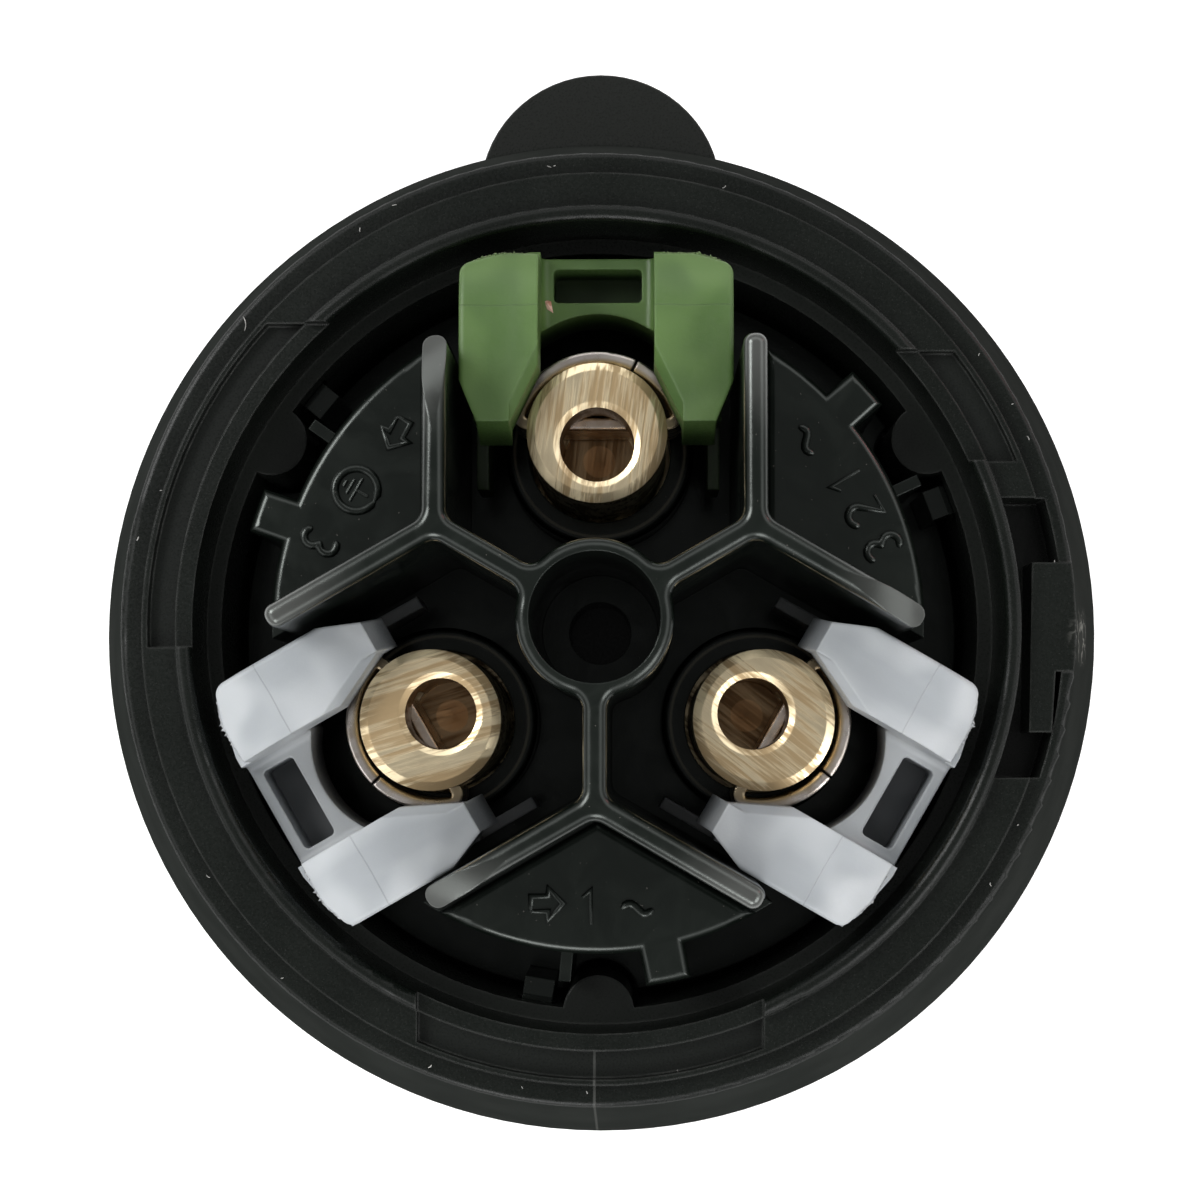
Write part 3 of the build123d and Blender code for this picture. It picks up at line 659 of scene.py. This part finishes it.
def flash(terminal):
    """Ragged moulding flash: a thin torn lip along the outer ends of a slider's arms."""
    outward, sideways = directions(TERMINALS[terminal])
    shift = outward * SLACK[terminal][0] + sideways * SLACK[terminal][1]
    corner = math.asin(math.sqrt(ARM_ENVELOPE**2 - ARM_END**2) / ARM_ENVELOPE)
    built = bmesh.new()
    for hand in (-1, 1):
        rows = []
        reach = 0.0
        for step in range(FLASH_STEPS + 1):
            # Where the arm's end is at this step, and how far its top has fallen
            share = step / FLASH_STEPS
            side = ARM_GAP + FLASH_MARGIN + share * FLASH_WIDTH
            angle = math.asin(side / ARM_ENVELOPE)
            out = ARM_END if angle < corner else ARM_ENVELOPE * math.cos(angle)
            drop = ARM_FALL_RADIUS - math.sqrt(ARM_FALL_RADIUS**2 - (out - ARM_CREASE) ** 2)

            # How far the lip stands out, with a longer tooth now and then
            fade = math.sin(math.pi * share) ** 0.4
            reach = 0.6 * reach + 0.4 * random.uniform(0.0, FLASH_REACH)
            tooth = FLASH_REACH * 0.9 if random.random() < TOOTH_CHANCE else 0.0
            width = FLASH_LEAST + fade * (reach + tooth)
            wander = random.uniform(-FLASH_WANDER, FLASH_WANDER)
            lift = random.uniform(*FLASH_LIFT)

            base = shift + outward * (out - FLASH_ROOT) + sideways * (hand * side)
            edge = shift + outward * (out + width) + sideways * (hand * (side + wander))
            top = ARM_TOP - drop - FLASH_SINK
            corners = [
                (*base.xy, top),
                (*edge.xy, top + lift),
                (*edge.xy, top + lift - FLASH_EDGE),
                (*base.xy, top - FLASH_FOOT),
            ]
            rows.append([built.verts.new(Vector(place) * MM) for place in corners])
        for one, two in zip(rows, rows[1:]):
            for k in range(4):
                built.faces.new((one[k], one[(k + 1) % 4], two[(k + 1) % 4], two[k]))
        built.faces.new(rows[0])
        built.faces.new(rows[-1][::-1])
    bmesh.ops.recalc_face_normals(built, faces=built.faces)
    mesh = bpy.data.meshes.new(f"flash_{terminal}")
    built.to_mesh(mesh)
    built.free()
    slider = f"{terminal}_slider"
    add_mesh(f"flash_{terminal}", mesh, looks[slider], slider)


for terminal in TERMINALS:
    flash(terminal)

# A copper-coloured chip of foil that lies on the green slider's bridge
chip = bmesh.new()
rim = [chip.verts.new(Vector(place) * MM) for place in CHIP_OUTLINE]
peak = chip.verts.new(Vector(CHIP_PEAK) * MM)
for one, two in zip(rim, rim[1:] + rim[:1]):
    chip.faces.new((one, two, peak))
chip.faces.new(rim[::-1])
chip_mesh = bpy.data.meshes.new("copper_chip")
chip.to_mesh(chip_mesh)
chip.free()
copper = plain_speck("copper_chip", 0.45, 3.0)
add_mesh("copper_chip", chip_mesh, copper, "earth_slider")


def fibre(start, heading, length, bend):
    """A lint fibre's path: short steps that turn steadily."""
    place = Vector(start)
    path = [tuple(place)]
    angle = math.radians(heading)
    for _ in range(FIBRE_STEPS):
        step = length / FIBRE_STEPS
        place = place + Vector((math.cos(angle), math.sin(angle), 0)) * step
        angle += math.radians(bend) / FIBRE_STEPS
        path.append(tuple(place))
    return path


def mote():
    """A very short fibre somewhere on the ring."""
    angle = math.radians(random.uniform(0, 360))
    radius = random.uniform(*MOTE_RADIUS)
    start = (radius * math.cos(angle), radius * math.sin(angle), RING_TOP + 0.03)
    heading = random.uniform(0, 360)
    length = random.uniform(*MOTE_LENGTH)
    return fibre(start, heading, length, random.uniform(-MOTE_BEND, MOTE_BEND))


# Lint: a few pale fibres and motes that lie on the flange
lint = plain_speck("lint", 0.7, 2.0)
paths = [fibre(*row) for row in FIBRES] + [mote() for _ in range(MOTE_COUNT)]
add_mesh("lint", tube_mesh("lint", paths, FIBRE_RADIUS), lint, "plug")

# Floor
bpy.ops.mesh.primitive_plane_add(size=3)
floor = bpy.context.object
floor.name = "floor"
floor.data.materials.append(floor_paper())


def area_light(name, place, aim, size, watts, colour=(1, 1, 1)):
    """A round lamp at a place, turned towards its aim."""
    light = bpy.data.lights.new(name, "AREA")
    light.shape = "DISK"
    light.size = size
    light.energy = watts
    light.color = colour
    lamp = bpy.data.objects.new(name, light)
    bpy.context.collection.objects.link(lamp)
    lamp.location = place
    towards = Vector(aim) - Vector(place)
    lamp.rotation_euler = towards.to_track_quat("-Z", "Y").to_euler()


def tent(stops):
    """A world whose brightness changes with height."""
    world = bpy.data.worlds.new("tent")
    bpy.context.scene.world = world
    world.use_nodes = True
    tree = world.node_tree
    coordinates = tree.nodes.new("ShaderNodeTexCoord")
    split = tree.nodes.new("ShaderNodeSeparateXYZ")
    tree.links.new(coordinates.outputs["Generated"], split.inputs[0])
    ramp = tree.nodes.new("ShaderNodeValToRGB")
    ramp.color_ramp.interpolation = "EASE"
    tree.links.new(split.outputs[2], ramp.inputs[0])
    steps = ramp.color_ramp.elements
    while len(steps) < len(stops):
        steps.new(1.0)
    for step, (height, strength) in zip(steps, stops):
        step.position = height
        step.color = (strength, strength, strength, 1)
    tree.links.new(ramp.outputs[0], tree.nodes["Background"].inputs["Color"])


tent(TENT)
for row in LAMPS:
    area_light(*row)
bpy.context.scene.view_settings.view_transform = "Standard"

# Camera at the photo's viewing angle
camera = bpy.data.cameras.new("camera")
camera.lens = CAMERA_LENS
camera.sensor_width = CAMERA_SENSOR
camera.clip_start = CAMERA_CLIP
camera_object = bpy.data.objects.new("camera", camera)
bpy.context.collection.objects.link(camera_object)
eye = Vector(CAMERA_EYE) * MM
aim = Vector(CAMERA_AIM) * MM
back = (eye - aim).normalized()
right = Vector((0, 1, 0)).cross(back).normalized()
turn = Matrix((right, back.cross(right), back)).transposed()
camera_object.matrix_world = Matrix.Translation(eye) @ turn.to_4x4()
bpy.context.scene.camera = camera_object
